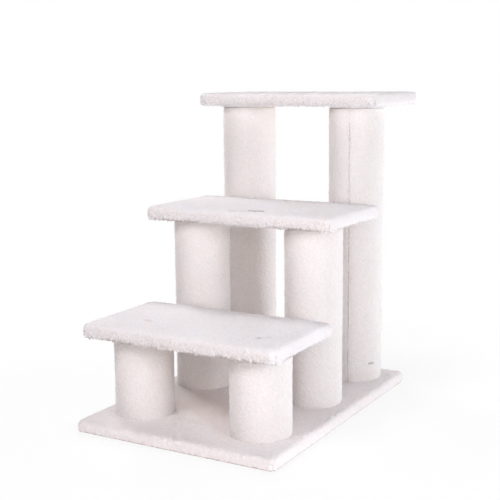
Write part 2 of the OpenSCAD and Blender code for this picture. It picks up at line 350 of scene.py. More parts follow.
# Where the pile begins, how far its tufts and curls rise from there, and how far the tufts lean over
PILE_LOW = -1.2 * MM
PILE_RISE = 1.9 * MM
CURL_RISE = 0.45 * MM
LEAN = 0.9 * MM
# How deep inside its border a tuft or a curl reaches its full height, in its own sizes
TUFT_ROUND = 0.42
CURL_ROUND = 0.5
# The share of its height that each tuft has, and the share that is a tuft's own
TUFT_LEAST = 0.45
TUFT_OWN = 0.55
# Slow swells of the whole surface, and the waves of the tufts' borders
SWELL = 0.35 * MM
SWELL_SIZE = 55 * MM
WAVE = 0.6 * MM
WAVE_SIZE = 3 * MM
# The pile's height as its material reads it: 1 at the tips, this at the roots, 0 deep in a slit; painted
# shade lowers it
PILE_ROOT = 0.4
# The shares of that height that the tufts and the curls give
TUFT_SHARE = 0.7
CURL_SHARE = 0.3


def grow_pile(points, normals, amount, seed, rise=1.0, hang=0.0):
    """Moves the points of a cover out and in as clumped, curly pile, and returns them with the pile's height.
    Its tufts are higher by the factor rise, and hang down by as much as hang says."""
    swell = value_noise(points, SWELL_SIZE, seed + SWELL_SEED) * SWELL
    wave = np.column_stack([value_noise(points, WAVE_SIZE, seed + WAVE_SEED + i) for i in range(3)])
    depth, own = tufts(points + WAVE * wave, TUFT, seed)
    dome = smooth(depth / TUFT_ROUND) * (TUFT_LEAST + TUFT_OWN * own[:, 0])
    curl = smooth(tufts(points, CURL, seed + CURL_SEED)[0] / CURL_ROUND)
    lean = own * 2 - 1
    lean -= normals * np.sum(lean * normals, axis=1)[:, None]
    out = (PILE_LOW + PILE_RISE * dome * rise + CURL_RISE * (curl - 0.5) + swell) * amount
    moved = points + normals * out[:, None] + lean * (LEAN * dome * amount)[:, None]
    moved[:, 2] -= hang * dome * amount
    height = np.clip(TUFT_SHARE * dome + CURL_SHARE * curl, 0, 1)
    return moved, PILE_ROOT + (1 - PILE_ROOT) * height


# The lips of a groove, in its widths: how far from its middle they rise, and over how much
LIP_AT = 2.8
LIP_WIDTH = 1.3


def groove(points, normals, distance, width, depth, lip):
    """Presses a narrow line into the pile, with raised lips beside it."""
    down = depth * bell(distance, width)
    up = lip * bell(distance - LIP_AT * width, LIP_WIDTH * width)
    return points + normals * (up - down)[:, None]


# A parting this deep gets the darkest painted shade at its bottom
DARK_DEPTH = 3.2 * MM
# Across a parting, in its widths: how far behind its middle the pile stands up as a flap, how far in front of
# it as a puff, how far behind it the painted shade of its bottom lies, and over how much each goes
FLAP_AT = 2.1
FLAP_WIDTH = 1.2
PUFF_AT = 2.4
PUFF_WIDTH = 1.4
DARK_AT = 0.8
DARK_WIDTH = 1.1
# Along a parting, in its half lengths: where it ends, and over how much it fades out before that
PARTING_END = 1.08
PARTING_FADE = 0.3
# How far the flap leans out over the slit, in its heights
FLAP_LEAN = 0.5


def part_pile(points, pile, top, mark):
    """Parts the pile of a tread along a short curved line, as over a bolt's slit, with a flap, a puff and
    painted shade.
    """
    x0, y0, half, turn, bow, width, depth, flap, puff = mark
    c, s = math.cos(turn), math.sin(turn)
    along = (points[:, 0] - x0) * c + (points[:, 1] - y0) * s
    across = (points[:, 1] - y0) * c - (points[:, 0] - x0) * s
    u = along / half
    across = across - bow * (1 - u**2)
    ends = smooth((PARTING_END - np.abs(u)) / PARTING_FADE) * top
    press = bell(across, width)
    behind = bell(across - FLAP_AT * width, FLAP_WIDTH * width)
    before = bell(across + PUFF_AT * width, PUFF_WIDTH * width)
    moved = points.copy()
    moved[:, 2] += (flap * behind + puff * before - depth * press) * ends
    moved[:, 1] -= FLAP_LEAN * flap * behind * ends
    # Painted shade along the bottom of the parting
    dark = bell(across - DARK_AT * width, DARK_WIDTH * width) * ends
    return moved, pile * (1 - min(depth / DARK_DEPTH, 1) * dark)


def node_box(node):
    """The lowest and highest corners of a CAD node, as arrays."""
    low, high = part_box(node)
    return np.array(low), np.array(high)


def post_plan(row):
    """The middles of a row's two posts on plan, and their radius."""
    places = []
    for side in SIDES:
        low, high = node_box(f"{row}_{side}_post_cover")
        places.append((low[:2] + high[:2]) / 2)
        radius = (high[1] - low[1]) / 2
    return places, radius


def spread(length, pitch):
    """Places about the middle of a length, one for each pitch that fits into it, and two at least."""
    n = max(2, int(length / pitch))
    return [length * ((i + 0.5) / n - 0.5) for i in range(n)]


def staple_places(low, high):
    """The middle of each staple of a hem, on plan."""
    middle, size = (low + high)[:2] / 2, (high - low)[:2]
    places = []
    for sign in (-1, 1):
        for x in spread(size[0] - 2 * HEM_W, STAPLE_PITCH):
            places.append(middle + (x, sign * (size[1] / 2 - STAPLE_INSET)))
        for y in spread(size[1] - 2 * HEM_W, STAPLE_PITCH):
            places.append(middle + (sign * (size[0] / 2 - STAPLE_INSET), y))
    return places


# Covers of the steps and of the base

# How deep the staples dimple the hem of a step and of the base, and how deep the mitres at its corners are
STEP_HEM_DEPTHS = (3.2 * MM, 2.4 * MM)
BASE_HEM_DEPTHS = (0.7 * MM, 0.6 * MM)
DIMPLE_WIDTH = 4.2 * MM
MITRE_WIDTH = 1.0 * MM
# How far in past the hem a mitre may reach
MITRE_PAST = 1 * MM


def hem_details(points, normals, wrap):
    """Dimples at the staples and a mitre at each corner, on the underside."""
    dimple, mitre = STEP_HEM_DEPTHS if wrap.round_under else BASE_HEM_DEPTHS
    under = normals[:, 2] < -FLAT
    near = np.full(len(points), FAR)
    for place in staple_places(wrap.low, wrap.low + wrap.size):
        near[under] = np.minimum(near[under], np.linalg.norm(points[under][:, :2] - place, axis=1))
    points = points - normals * (dimple * under * bell(near, DIMPLE_WIDTH))[:, None]
    inward = np.abs(np.abs(points[:, :2] - wrap.middle[:2]) - wrap.size[:2] / 2)
    from_mitre = np.abs(inward[:, 0] - inward[:, 1]) / math.sqrt(2)
    on_mitre = under & (inward.max(1) < HEM_W + MITRE_PAST)
    return points - normals * (mitre * on_mitre * bell(from_mitre, MITRE_WIDTH))[:, None]


# For each corner of each step, by the signs of its x and y: where the fold lies, in degrees from the x axis,
# and in millimetres how deep it is, and how far the gathered fleece behind it bulges down
CORNER_PLEATS = [
    {(1, -1): (36, 2.7, 3.6), (-1, -1): (50, 0.9, 0.8), (1, 1): (40, 1.4, 1.6), (-1, 1): (48, 1.2, 1.4)},
    {(1, -1): (42, 2.2, 3.0), (-1, -1): (46, 0.8, 0.8), (1, 1): (52, 1.3, 1.2), (-1, 1): (40, 1.2, 1.6)},
    {(1, -1): (44, 0.5, 0.8), (-1, -1): (40, 0.7, 0.8), (1, 1): (38, 1.3, 1.4), (-1, 1): (50, 1.2, 1.2)},
]
BASE_PLEATS = {(1, -1): (40, 0.9, 0), (-1, -1): (48, 0.9, 0), (1, 1): (50, 1.0, 0), (-1, 1): (42, 1.0, 0)}
# A fold's width and how much painted shade darkens it. It begins at a share of the cover's height, and grows
# from there down over another.
PLEAT_WIDTH = 1.8 * MM
PLEAT_PAINTED_SHADE = 0.35
PLEAT_TOP = 0.92
PLEAT_FADE = 0.4
# A fold's width counts as if no point were closer to the middle of its corner than this
PLEAT_NEAREST = 1 * MM
# How far behind a corner the gathered fleece bulges, how wide, and below which share of the cover's height
GATHER_AWAY = 17 * MM
GATHER_WIDTH = 13 * MM
GATHER_TOP = 0.6


def corner_pleats(grown, pile, points, normals, wrap, pleats):
    """A soft fold with painted shade down each corner, where the fleece is tucked under, and the bulge of
    what it gathers.
    """
    away = points[:, :2] - wrap.middle[:2]
    reach = np.abs(away) - (wrap.size[:2] / 2 - EDGE_R - wrap.corner)
    around = np.maximum(np.linalg.norm(np.maximum(reach, 0), axis=1), PLEAT_NEAREST)
    angle = np.arctan2(reach[:, 1], reach[:, 0])
    height = (points[:, 2] - wrap.low[2]) / wrap.size[2]
    edge = normals[:, 2] < FLAT
    for (side_x, side_y), (degrees, depth, bulge) in pleats.items():
        here = (np.sign(away) == (side_x, side_y)).all(1) & edge
        at_corner = here & (reach > 0).all(1)
        distance = np.abs(angle - math.radians(degrees)) * around
        fade = smooth((PLEAT_TOP - height) / PLEAT_FADE) * at_corner
        press = bell(distance, PLEAT_WIDTH) * fade
        grown = grown - normals * (depth * MM * press)[:, None]
        # Painted shade in the fold
        pile = pile * (1 - PLEAT_PAINTED_SHADE * press)
        corner = wrap.middle[:2] + (side_x, side_y) * (wrap.size[:2] / 2)
        gathered = corner - (0, side_y * GATHER_AWAY)
        near = bell(np.linalg.norm(points[:, :2] - gathered, axis=1), GATHER_WIDTH)
        lower = smooth((GATHER_TOP - height) / GATHER_TOP) * here * near
        grown[:, 2] -= bulge * MM * lower
    return grown, pile


# Painted shade: the sides of a cover, where the fleece bends round the edge of a board, and its underside are
# darkened
EDGE_PAINTED_SHADE = 0.36
UNDER_PAINTED_SHADE = 0.3
# The upward or downward part of a normal where that begins, from above and below, and over how much it grows
SIDE_FROM = 0.97
SIDE_FADE = 0.6
SIDE_FADE_UNDER = 0.4
UNDER_FROM = 0.65
UNDER_FADE = 0.33
# At the foot of a side its painted shade is this many times the side's share, and at the head of it so much
# less
SIDE_FOOT = 1.25
SIDE_LESS = 0.6
# On the two ends of a step, where the fleece is stretched most, its pile is flatter and gets less painted
# shade
END_FLAT = 0.3
END_SHADE_CUT = 0.25
# Round each post the downward faces of a step get painted shade, most under the lowest step
SEAT_PAINTED_SHADE = [0.75, 0.6, 0.0]
SEAT_SHADE_REACH = 48 * MM
SEAT_SHADE_FADE = 12 * MM


def painted_edge_shade(normals, height, to_end):
    """Painted shade as the share left of the pile's height: less on the sides, least low on them, and less
    underneath.
    """
    side = smooth((SIDE_FROM - normals[:, 2]) / SIDE_FADE)
    side = side * smooth((normals[:, 2] + SIDE_FROM) / SIDE_FADE_UNDER)
    under = smooth((-normals[:, 2] - UNDER_FROM) / UNDER_FADE)
    edge = EDGE_PAINTED_SHADE * (1 - END_SHADE_CUT * to_end)
    return 1 - edge * side * (SIDE_FOOT - SIDE_LESS * height) - UNDER_PAINTED_SHADE * under * (1 - side)


# How far a normal points to the front, to an end or down where a side counts as facing there, and over how
# much more it comes to count wholly
FRONT_FROM = 0.2
FRONT_OVER = 0.5
END_FROM = 0.3
END_OVER = 0.5
DOWN_FROM = 0.3
DOWN_OVER = 0.6
# The longer tufts along a step's lower edge: at which share of its height they are longest and over how much,
# and how level a surface is that has none
FRINGE_AT = 0.1
FRINGE_WIDTH = 0.2
FRINGE_LEVEL = 0.98
# How much longer they are all round and how much more in front, and how far they hang, in millimetres
FRINGE_RISE = 0.35
FRINGE_RISE_FRONT = 0.7
FRINGE_HANG = 0.3
FRINGE_HANG_FRONT = 2.3
# The share of the pile's height under a step
UNDER_PILE = 0.55
# Under a step the pile bulges down round each post: how far, how far out from the post, and how wide
SEAT_BULGE = 3.2 * MM
SEAT_BULGE_AT = 3 * MM
SEAT_BULGE_WIDTH = 4.5 * MM
# The covers are pressed flat this far inside the outside of each post
SEAT_INSET = 1.5 * MM

# The partings that the photo shows near each bolt, and the long one of the middle step. For each, where its
# middle lies on plan, half its length, how it is turned, how far it bows back, its width, its depth, and how
# high the pile stands behind it and in front of it
MARKS = [
    [
        (-107 * MM, -234 * MM, 9 * MM, 0.2, 3 * MM, 2.1 * MM, 2.5 * MM, 1.8 * MM, 1.8 * MM),
        (136 * MM, -245 * MM, 9 * MM, 0.40, 0.5 * MM, 2.1 * MM, 2.1 * MM, 1.4 * MM, 1.2 * MM),
        (150 * MM, -236 * MM, 6 * MM, 0.70, 0.5 * MM, 2.0 * MM, 2.0 * MM, 1.2 * MM, 1.0 * MM),
    ],
    [
        (-122 * MM, -16 * MM, 9 * MM, 0.4, 0.5 * MM, 1.8 * MM, 1.6 * MM, 0.5 * MM, 0.3 * MM),
        (137 * MM, -30 * MM, 6 * MM, 0.6, 0.5 * MM, 2.0 * MM, 2.1 * MM, 1.2 * MM, 0.8 * MM),
        (32 * MM, -72 * MM, 18 * MM, 0.34, -2.5 * MM, 4.0 * MM, 3.4 * MM, 3.0 * MM, 1.8 * MM),
        (-2 * MM, -83 * MM, 19 * MM, 0.40, -1 * MM, 3.4 * MM, 2.2 * MM, 1.6 * MM, 1.4 * MM),
    ],
    [],
]
# The same, but for its place, of a parting over a bolt of the top step, whose top the photo doesn't show
TOP_MARK = (10 * MM, 0.1, 0.5 * MM, 1.6 * MM, 2.8 * MM, 1.2 * MM, 0.8 * MM)


def step_cover(i):
    """The fleece of one step."""
    node = f"{STEPS[i]}_step_cover"
    low, high = node_box(node)
    places, post_r = post_plan(ROWS[i])
    middle = (low + high) / 2
    fine_y = [(low_y - middle[1], high_y - middle[1], FINE_PITCH) for low_y, high_y in FINE_ROWS[i]]
    wrap = Wrap(low, high, STEP_CORNER, STEP_PITCH, True, fine_y)
    points, normals = np.concatenate(wrap.points), np.concatenate(wrap.normals)
    height = (points[:, 2] - low[2]) / (high[2] - low[2])
    under, top = normals[:, 2] < -FLAT, normals[:, 2] > FLAT
    # The tufts along the lower edge are longer and hang down, most of all in front
    in_front = smooth((-normals[:, 1] - FRONT_FROM) / FRONT_OVER)
    edge = bell(height - FRINGE_AT, FRINGE_WIDTH) * (np.abs(normals[:, 2]) < FRINGE_LEVEL)
    rise = 1 + (FRINGE_RISE + FRINGE_RISE_FRONT * in_front) * edge
    hang = (FRINGE_HANG + FRINGE_HANG_FRONT * in_front) * MM * edge
    to_end = smooth((np.abs(normals[:, 0]) - END_FROM) / END_OVER)
    amount = np.where(under, UNDER_PILE, 1 - END_FLAT * to_end)
    grown, pile = grow_pile(points, normals, amount, STEP_SEED + STEP_SEED_APART * i, rise, hang)
    # Painted shade on the sides and the underside of the step
    pile *= painted_edge_shade(normals, height, to_end)
    for mark in MARKS[i] or [(*place, *TOP_MARK) for place in places]:
        grown, pile = part_pile(grown, pile, top, mark)
    faces_down = smooth((-normals[:, 2] - DOWN_FROM) / DOWN_OVER)
    for place in places:
        away = np.linalg.norm(points[:, :2] - place, axis=1)
        # Painted shade on the downward faces of the step round the post
        near = smooth((post_r + SEAT_SHADE_REACH - away) / SEAT_SHADE_FADE)
        pile = pile * (1 - SEAT_PAINTED_SHADE[i] * faces_down * near)
        grown[:, 2] -= SEAT_BULGE * bell(away - post_r - SEAT_BULGE_AT, SEAT_BULGE_WIDTH) * under
        inside = under & (away < post_r - SEAT_INSET)
        grown[inside, 2] = low[2] + FLEECE_T - 2 * LINING_GAP
    grown, pile = corner_pleats(grown, pile, points, normals, wrap, CORNER_PLEATS[i])
    grown = hem_details(grown, normals, wrap)
    piece = wrap.finish(f"{STEPS[i]}_step_fleece", grown, pile)
    dress_soft(piece, node, "step_fleece")


# The side of the base: the share of the pile's height at its foot, how high up that reaches, and how far up a
# normal points where the top begins
BASE_FOOT_PILE = 0.35
BASE_FOOT = 6 * MM
BASE_TOP_FROM = 0.5
# In front the base's tufts are longer by this share
BASE_FRONT_FROM = 0.1
BASE_FRONT_RISE = 0.5
# Painted shade where the base meets the floor: how much, how high up, and over how much it fades
BASE_CONTACT_SHADE = 0.85
BASE_CONTACT_SHADE_TO = 4 * MM
BASE_CONTACT_SHADE_FADE = 3 * MM
# The ruff of pile that stands up round the foot of each post
RUFF = 1.1 * MM
RUFF_WIDTH = 4 * MM


def base_cover():
    """The fleece of the base, crushed under each post."""
    low, high = node_box("base_cover")
    wrap = Wrap(low, high, BASE_CORNER, BASE_PITCH, False)
    points, normals = np.concatenate(wrap.points), np.concatenate(wrap.normals)
    under, top = normals[:, 2] < -FLAT, normals[:, 2] > FLAT
    amount = np.where(under, 0.0, 1.0)
    foot = BASE_FOOT_PILE + (1 - BASE_FOOT_PILE) * smooth((points[:, 2] - low[2]) / BASE_FOOT)
    amount = np.where(normals[:, 2] < BASE_TOP_FROM, amount * foot, amount)
    in_front = smooth((-normals[:, 1] - BASE_FRONT_FROM) / FRONT_OVER)
    grown, pile = grow_pile(points, normals, amount, BASE_SEED, 1 + BASE_FRONT_RISE * in_front)
    # Painted contact shade along the foot of the base
    pile *= 1 - BASE_CONTACT_SHADE * smooth((low[2] + BASE_CONTACT_SHADE_TO - points[:, 2]) / BASE_CONTACT_SHADE_FADE)
    for row in ROWS:
        places, post_r = post_plan(row)
        for place in places:
            away = np.linalg.norm(points[:, :2] - place, axis=1)
            ruff = RUFF * bell(away - post_r, RUFF_WIDTH) * top
            grown = grown + normals * ruff[:, None]
            inside = top & (away < post_r - SEAT_INSET)
            grown[inside] = points[inside]
            grown[inside, 2] = low[2] + BASE_HEM_T + BOARD_T + CRUSHED_T - LINING_GAP
    grown, pile = corner_pleats(grown, pile, points, normals, wrap, BASE_PLEATS)
    grown = hem_details(grown, normals, wrap)
    grown[:, 2] = np.maximum(grown[:, 2], low[2])
    piece = wrap.finish("base_fleece", grown, pile)
    dress_soft(piece, "base_cover", "base_fleece")


# Sleeves of the posts

# The sleeve is round at its foot. Its round upper end stops this far under the step, where the hem's pile
# bulges down round it, and a narrow neck goes on up to the board.
FOOT_R = 4.2 * MM
SEAT_GAP = 4.6 * MM
SEAT_R = 2.4 * MM
# How far the lips at both ends reach in over the end of the tube
LIP_IN = 4 * MM
# How many rows of points the lips and the neck have, and into how many parts the round ends are cut
FOOT_LIP_ROWS = 6
TOP_LIP_ROWS = 4
NECK_ROWS = 5
ROUND_PARTS = 5
# The fleece of the sleeves has a lower pile. It starts this far up from the base and fades in, and it fades
# out under the step.
SLEEVE_PILE = 0.8
FOOT_BARE = 1 * MM
FOOT_FADE = 3 * MM
HEAD_FADE = 2 * MM
# The seam faces back, but on the tall right post, where the photo shows it
SEAM_BACK = math.radians(90)
SEAM_SHOWN = math.radians(-81)
# How far the points lie closer on both sides of the seam, and how close
SEAM_NEAR = 9 * MM
SEAM_PITCH = 0.6 * MM
# The seam's width, its depth, its lips, and how far it wanders and over which length
SEAM_WIDTH = 0.9 * MM
SEAM_DEPTH = 2.6 * MM
SEAM_LIP = 0.5 * MM
SEAM_WANDER = 0.5 * MM
SEAM_WANDER_SIZE = 24 * MM
# The pile opens along the seam
SEAM_OPEN = 0.5
SEAM_OPEN_WIDTH = 1.1 * MM
# Close under a step the sleeve's top gets painted shade: how much, how far down, and over how much it fades
SLEEVE_TOP_SHADE = {"low": 0.6, "mid": 0.2, "tall": 0.0}
SLEEVE_TOP_SHADE_TO = 10.5 * MM
SLEEVE_TOP_SHADE_FADE = 5.5 * MM
# The stray staple low on the tall right post presses the pile in round its wire: how deep, how far round and
# up from its middle, how soft the dent's edge is, and how much painted shade darkens the dent
DENT = 2.3 * MM
DENT_HALF = (8.4 * MM, 3.0 * MM)
DENT_EDGE = 1.6 * MM
DENT_PAINTED_SHADE = 0.8


def staple_dent(grown, pile, points, normals, axis):
    """Presses the pile in round the stray staple of the tall right post so its wire shows, with painted shade
    there.
    """
    low, high = node_box("tall_right_post_staple")
    middle = (low + high) / 2
    out = (middle[:2] - axis) / np.linalg.norm(middle[:2] - axis)
    away = points - middle
    across = np.abs(away[:, 0] * out[1] - away[:, 1] * out[0])
    press = smooth((DENT_HALF[0] - across) / DENT_EDGE)
    press = press * smooth((DENT_HALF[1] - np.abs(away[:, 2])) / DENT_EDGE)
    press = (press * (away[:, :2] @ out > 0))[:, None]
    grown = grown * (1 - press) + (points - normals * DENT) * press
    # Painted shade in the dent
    return grown, pile * (1 - DENT_PAINTED_SHADE * press[:, 0])


def sleeve_profile(row, z0, z1, z_seat, radius, lip_r):
    """Of each ring of a sleeve's outside, from its lip at the foot to its lip at the top: its radius, its
    height, and how far its normals point outward and up."""
    profile = [(r, z0, 0, -1) for r in np.linspace(lip_r, radius - FOOT_R, FOOT_LIP_ROWS)]
    for s, c in quarter_turn(ROUND_PARTS):
        profile.append((radius - FOOT_R + FOOT_R * s, z0 + FOOT_R - FOOT_R * c, s, -c))
    rows = parts(z_seat - z0 - FOOT_R - SEAT_R, POST_PITCH[row]) + 1
    profile += [(radius, z, 1, 0) for z in np.linspace(z0 + FOOT_R, z_seat - SEAT_R, rows)[1:]]
    for s, c in quarter_turn(ROUND_PARTS):
        profile.append((radius - SEAT_R + SEAT_R * c, z_seat - SEAT_R + SEAT_R * s, c, s))
    neck_r = radius - SEAT_R
    profile += [(neck_r, z, 1, 0) for z in np.linspace(z_seat, z1, NECK_ROWS)[1:]]
    profile += [(r, z1, 0, 1) for r in np.linspace(neck_r, lip_r, TOP_LIP_ROWS)[1:]]
    return profile


def sleeve(row, side):
    """The fleece sleeve of one post, closed round its tube, with its butt seam."""
    node = f"{row}_{side}_post_cover"
    low, high = node_box(node)
    tube_low, tube_high = node_box(f"{row}_{side}_post_tube")
    middle = (tube_low + tube_high) / 2
    radius = (high[1] - low[1]) / 2
    tube_r = (tube_high[1] - tube_low[1]) / 2
    lip_r = tube_r - LIP_IN
    z0, z1 = low[2], high[2]
    z_seat = node_box(f"{STEPS[ROWS.index(row)]}_step_cover")[0][2] - SEAT_GAP
    with_staple = (row, side) == ("tall", "right")
    # Angles from the seam, and each ring of points round the post
    near, finer = SEAM_NEAR / radius, SEAM_PITCH / radius
    near_seam = [(0, near, finer), (math.tau - near, math.tau, finer)]
    around = graded(0, math.tau, POST_PITCH[row] / radius, near_seam)[:-1]
    n = len(around)
    angle = around + (SEAM_SHOWN if with_staple else SEAM_BACK)
    unit = np.column_stack([np.cos(angle), np.sin(angle)])
    profile = sleeve_profile(row, z0, z1, z_seat, radius, lip_r)
    points, normals, gaps, heights = [], [], [], []
    for r, z, out, up in profile:
        points.append(np.column_stack([middle[:2] + unit * r, np.full(n, z)]))
        normals.append(np.column_stack([unit * out, np.full(n, up)]))
        gaps.append(r * np.minimum(around, math.tau - around))
        foot, head = smooth((z - z0 - FOOT_BARE) / FOOT_FADE), smooth((z_seat - z) / HEAD_FADE)
        heights.append(np.full(n, min(foot, head)))
    points, normals = np.concatenate(points), np.concatenate(normals)
    gap, amount = np.concatenate(gaps), np.concatenate(heights)
    seed = POST_SEED + ROW_SEED_APART * ROWS.index(row) + SIDE_SEED_APART * SIDES.index(side)
    grown, pile = grow_pile(points, normals, amount * SLEEVE_PILE, seed)
    gap = gap + SEAM_WANDER * value_noise(points * (0, 0, 1), SEAM_WANDER_SIZE, seed + SEAM_SEED)
    grown = groove(grown, normals, gap, SEAM_WIDTH, SEAM_DEPTH * amount, SEAM_LIP * amount)
    pile *= 1 - SEAM_OPEN * amount * bell(gap, SEAM_OPEN_WIDTH)
    # Painted shade on the sleeve's top, close under its step
    pile *= 1 - SLEEVE_TOP_SHADE[row] * smooth((points[:, 2] - z_seat + SLEEVE_TOP_SHADE_TO) / SLEEVE_TOP_SHADE_FADE)
    if with_staple:
        grown, pile = staple_dent(grown, pile, points, normals, middle[:2])
    # The lining, from the lip at the top down inside to the lip at the foot
    over_tube, under_tube = z1 - CRUSHED_T + LINING_GAP, z0 + CRUSHED_T - LINING_GAP
    round_tube = tube_r + LINING_GAP
    lining = [(lip_r, over_tube), (round_tube, over_tube), (round_tube, under_tube), (lip_r, under_tube)]
    inside = [np.column_stack([middle[:2] + unit * r, np.full(n, z)]) for r, z in lining]
    grown = np.concatenate([grown, *inside])
    pile = np.concatenate([pile, np.zeros(len(inside) * n)])
    rings = [np.arange(k * n, (k + 1) * n) for k in range(len(profile) + len(lining))]
    quads = [ring_quads(b, a) for a, b in zip(rings, rings[1:] + rings[:1])]
    piece = make_mesh(f"{row}_{side}_post_fleece", grown, np.concatenate(quads), pile=pile)
    dress_soft(piece, node, "post_fleece")


# Materials

WHITE = (1.0, 1.0, 1.0)
# Noise hardly leaves this range, so colours spread over it
NOISE_LOW = 0.3
NOISE_HIGH = 0.7


class Graph:
    """The nodes of one material, or of the world."""

    def __init__(self, owner):
        owner.use_nodes = True
        self.nodes, self.links = owner.node_tree.nodes, owner.node_tree.links
        self.nodes.clear()

    def add(self, kind, inputs=None, **settings):
        """A new node with these settings. Each input is given a value, or is linked to a socket."""
        node = self.nodes.new("ShaderNode" + kind)
        for name, value in settings.items():
            setattr(node, name, value)
        for name, value in (inputs or {}).items():
            if isinstance(value, bpy.types.NodeSocket):
                self.links.new(value, node.inputs[name])
            else:
                node.inputs[name].default_value = value
        return node

    def calc(self, operation, a, b, clamp=False):
        """An operation on two numbers or sockets."""
        return self.add("Math", {0: a, 1: b}, operation=operation, use_clamp=clamp).outputs["Value"]

    def place(self, **mapping):
        """A point's place on its piece, scaled and turned by a mapping."""
        place = self.add("TexCoord").outputs["Object"]
        return self.add("Mapping", {"Vector": place, **mapping}).outputs["Vector"]

    def noise(self, scale, detail=4.0, roughness=0.55, stretch=(1, 1, 1)):
        """Noise from 0 to 1 that stays with its piece."""
        return self.add("TexNoise", {
            "Vector": self.place(Scale=stretch),
            "Scale": scale,
            "Detail": detail,
            "Roughness": roughness,
        }).outputs["Fac"]

    def ramp(self, value, stops):
        """Colours by a value from 0 to 1."""
        ramp = self.add("ValToRGB", {"Fac": value})
        elements = ramp.color_ramp.elements
        while len(elements) < len(stops):
            elements.new(0.5)
        for element, (place, color) in zip(elements, stops):
            element.position = place
            element.color = (*color, 1)
        return ramp.outputs["Color"]

    def mottle(self, noise, dark, light):
        """Noise as colours from dark to light."""
        return self.ramp(noise, [(NOISE_LOW, dark), (NOISE_HIGH, light)])

    def multiply(self, a, b, share=1.0):
        """A colour with a share of another multiplied in."""
        mix = self.add("Mix", {"Factor": share, "A": a, "B": b}, data_type="RGBA", blend_type="MULTIPLY")
        return mix.outputs["Result"]

    def bump(self, height, strength, distance):
        """A normal that follows small heights."""
        bump = self.add("Bump", {"Strength": strength, "Distance": distance, "Height": height})
        return bump.outputs["Normal"]

    def seen_as_white(self, surface, white, share=1.0):
        """Mixes plain white by a share into what the camera, mirrors and glass see of a surface."""
        path = self.add("LightPath").outputs
        seen = self.calc("ADD", path["Is Camera Ray"], path["Is Glossy Ray"], clamp=True)
        seen = self.calc("ADD", seen, path["Is Transmission Ray"], clamp=True)
        factor = self.calc("MULTIPLY", seen, share)
        return self.add("MixShader", {"Fac": factor, 1: surface, 2: white}).outputs["Shader"]


def new_material(name):
    """A material without nodes, and its graph."""
    material = bpy.data.materials.new(name)
    return material, Graph(material)


def shaded(material, graph, inputs):
    """Ends a material in the plain shader, with these inputs."""
    shader = graph.add("BsdfPrincipled", inputs)
    graph.add("OutputMaterial", {"Surface": shader.outputs["BSDF"]})
    return material


def shade(color, factor):
    """A colour made darker or lighter by a factor."""
    return tuple(min(1, c * factor) for c in color)


# The colour of the pile by its height, as a share of its tips' colour: deep in a slit, at the roots, above
# them and at the tips. Its darker, warmer low end is painted shade, in the hollows between tufts and wherever
# it is lowered
PILE_AND_SHADE_COLORS = [
    (0.0, (0.45, 0.38, 0.33)),
    (0.38, (0.91, 0.895, 0.88)),
    (0.7, (0.98, 0.975, 0.972)),
    (1.0, WHITE),
]
# The scales of its patches, its fibres and their bumps, and how dark patches and fibres get
PATCH_SCALE = 14
PATCH_DARK = (0.985, 0.975, 0.97)
FIBRE_SCALE = 1500
FIBRE_DARK = (0.95, 0.95, 0.95)
FIBRE_BUMP_SCALE = 1100


def fleece_material(name, tips):
    """Near-white curly pile, tips of one colour: painted shade warmer and darker at its roots, with faint
    patches and fibres.
    """
    material, graph = new_material(name)
    stops = [(place, tuple(c * tip for c, tip in zip(color, tips))) for place, color in PILE_AND_SHADE_COLORS]
    # Painted shade: darker and warmer where the pile's value is low
    color = graph.ramp(graph.add("Attribute", attribute_name="pile").outputs["Fac"], stops)
    color = graph.multiply(color, graph.mottle(graph.noise(PATCH_SCALE, detail=3), PATCH_DARK, WHITE))
    color = graph.multiply(color, graph.mottle(graph.noise(FIBRE_SCALE, detail=3), FIBRE_DARK, WHITE))
    return shaded(material, graph, {
        "Base Color": color,
        "Roughness": 0.95,
        "Specular IOR Level": 0.15,
        "Sheen Weight": 0.25,
        "Sheen Roughness": 0.5,
        "Subsurface Weight": 0.35,
        "Subsurface Radius": (1.0, 0.85, 0.75),
        "Subsurface Scale": 2.5 * MM,
        "Normal": graph.bump(graph.noise(FIBRE_BUMP_SCALE, 3, 0.6), 0.5, 0.4 * MM),
    })


# Pressed wood: how its chips are stretched and turned, and how much lighter than its light colour they get.
# Then its grain: its dark, where in its noise it is light, its share, and how much finer than the chips the
# grain and its bumps are.
CHIP_STRETCH = (1.0, 0.55, 2.2)
CHIP_TURN = (0.0, 0.0, 0.6)
CHIP_LIGHTEST = 1.12
GRAIN_DARK = (0.72, 0.68, 0.62)
GRAIN_HIGH = 0.6
GRAIN_SHARE = 0.8
GRAIN_FINER = 2.5
GRAIN_BUMP_FINER = 2


def wood_material(name, dark, light, scale):
    """Pressed wood: pale chips and dark flecks in a fine binder."""
    material, graph = new_material(name)
    place = graph.place(Scale=CHIP_STRETCH, Rotation=CHIP_TURN)
    chips = graph.add("TexVoronoi", {"Vector": place, "Scale": scale, "Randomness": 1.0})
    chip = graph.add("SeparateColor", {"Color": chips.outputs["Color"]}).outputs["Red"]
    body = graph.ramp(chip, [(0.0, dark), (0.5, light), (1.0, shade(light, CHIP_LIGHTEST))])
    grain = graph.ramp(graph.noise(scale * GRAIN_FINER, 5), [(NOISE_LOW, GRAIN_DARK), (GRAIN_HIGH, WHITE)])
    return shaded(material, graph, {
        "Base Color": graph.multiply(body, grain, GRAIN_SHARE),
        "Roughness": 0.8,
        "Normal": graph.bump(graph.noise(scale * GRAIN_BUMP_FINER, 4), 0.4, 0.3 * MM),
    })


# Paper: the scale of its fibres, and how they are stretched
PAPER_SCALE = 220
PAPER_STRETCH = (1, 1, 0.25)


